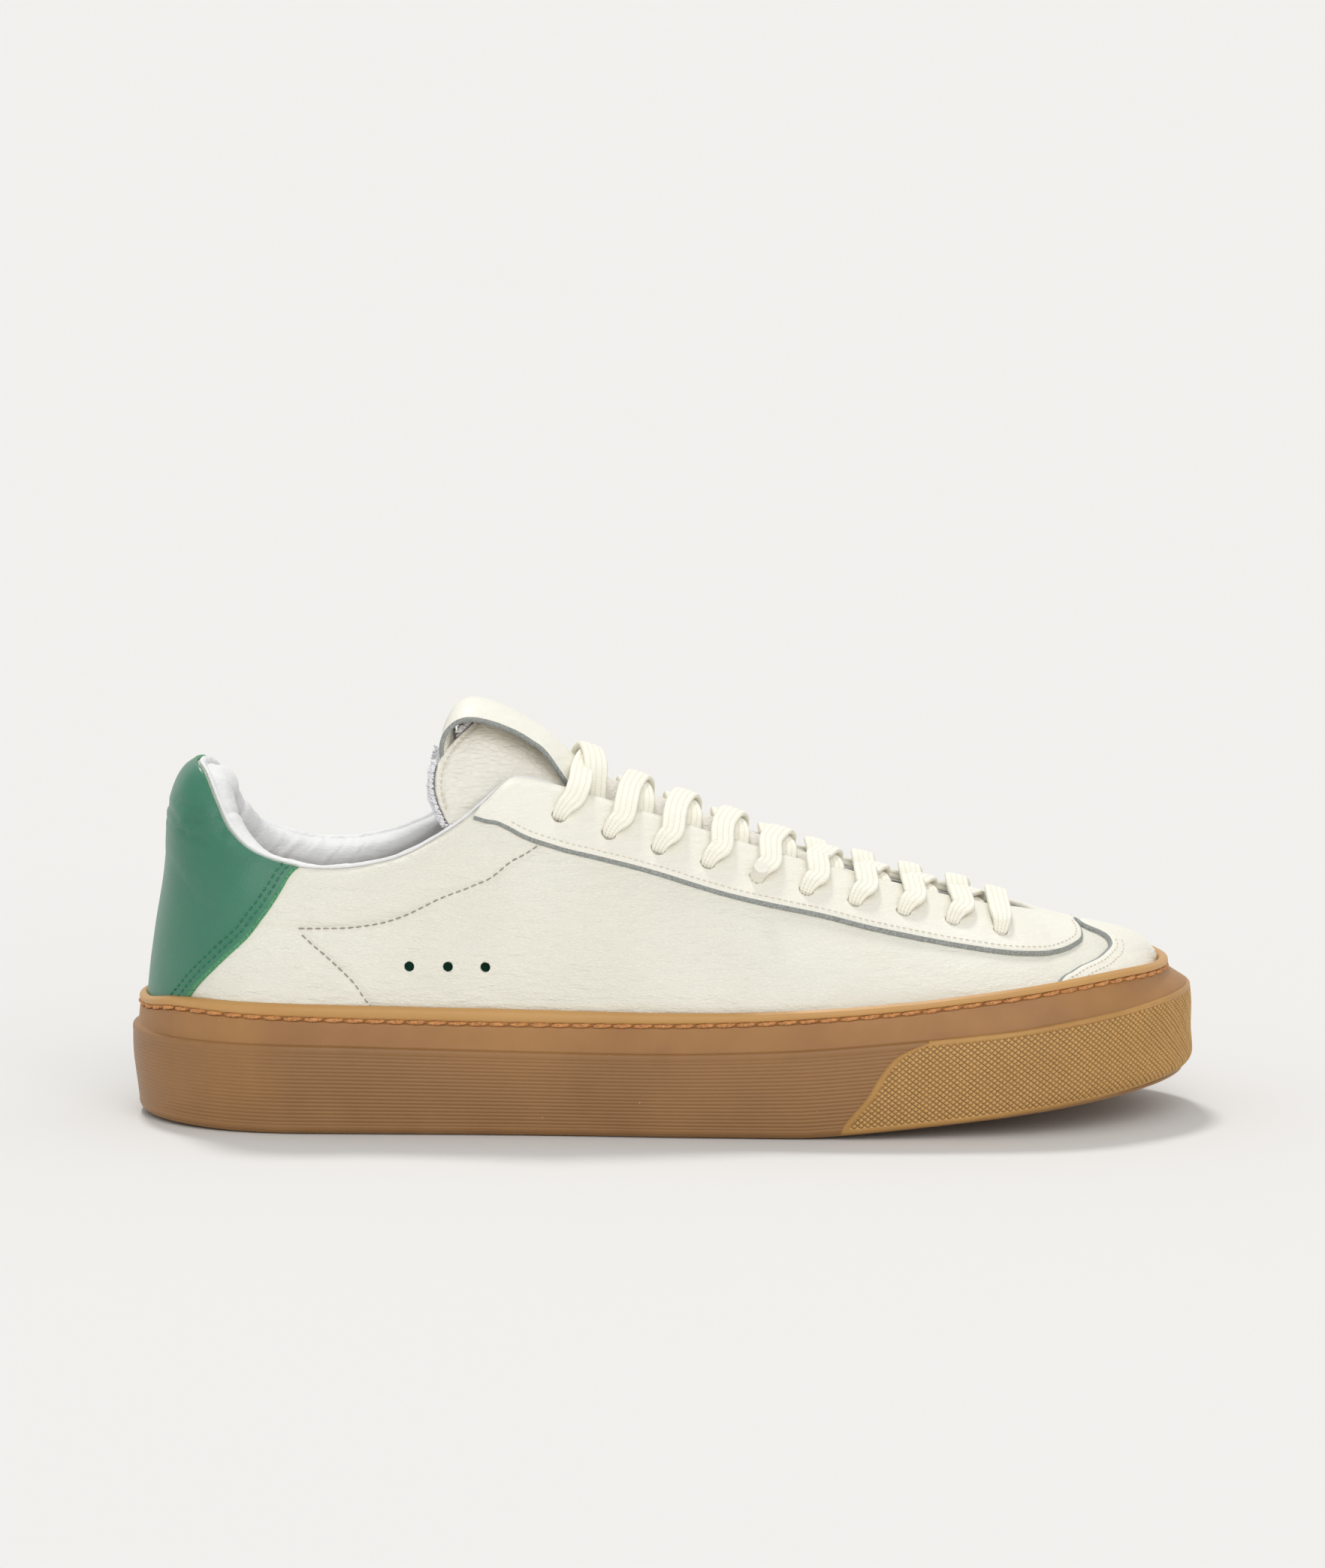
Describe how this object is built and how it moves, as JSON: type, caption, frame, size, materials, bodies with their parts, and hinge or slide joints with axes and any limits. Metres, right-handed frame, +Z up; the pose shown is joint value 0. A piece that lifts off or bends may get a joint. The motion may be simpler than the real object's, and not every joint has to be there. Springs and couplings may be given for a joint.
{
  "type": "court shoe",
  "caption": "Low-top leather court shoe for the right foot with a thick stitched cup sole, padded collar, laced throat and a padded tongue with a pull loop.",
  "frame": {"origin": "on the ground, under the middle of the shoe's bounding box", "axes": "+X from heel to toe, +Y to the inner (medial) side of the right foot, +Z up"},
  "size_m": [0.3, 0.106, 0.118],
  "materials": {
    "gum_rubber": "smooth moulded gum rubber, ribbed side band, satin",
    "copper_thread": "thick twisted lockstitch thread",
    "midsole_foam": "open-cell foam, hidden inside the sole",
    "fibre_board": "pressed fibre board, hidden",
    "footbed_foam": "moulded insole foam",
    "terry": "looped terry textile, matt",
    "ivory_leather": "fine-grained ivory leather, soft satin, with fine creases",
    "green_leather": "smooth dyed leather, soft satin, creased",
    "lining_foam": "padding foam, hidden",
    "white_lining": "soft white lining leather, puckered at the collar",
    "green_underlay": "dark textile seen through the vent holes",
    "lace_cotton": "flat woven cotton, ribbed lengthwise",
    "aglet_film": "thin rolled film"
  },
  "bodies": {
    "shoe": {"cupsole": "gum_rubber", "sidewall_thread": "copper_thread", "midsole_filler": "midsole_foam", "strobel_board": "fibre_board", "footbed_foam": "footbed_foam", "footbed_cover": "terry", "quarter_lateral": "ivory_leather", "quarter_medial": "ivory_leather", "eyestay": "ivory_leather", "heel_tab": "green_leather", "toe_cap": "ivory_leather", "heel_stiffener": "fibre_board", "toe_puff": "fibre_board", "collar_foam": "lining_foam", "collar_lining": "white_lining", "quarter_lining_lateral": "white_lining", "quarter_lining_medial": "white_lining", "vamp_lining": "white_lining", "vent_backing_lateral": "green_underlay", "vent_backing_medial": "green_underlay", "lace": "lace_cotton", "aglet_medial": "aglet_film", "aglet_lateral": "aglet_film"},
    "tongue": {"tongue_shell": "ivory_leather", "tongue_foam": "lining_foam", "tongue_lining": "terry", "tongue_loop": "ivory_leather"}
  },
  "joints": [
    {"name": "tongue_press", "type": "hinge", "parent": "shoe", "child": "tongue", "pos_m": [0.103, 0, 0.049], "axis": [0, -1, 0], "range_deg": [0, 6], "stiffness_Nm_per_rad": 2, "springref_deg": -2.86}
  ]
}
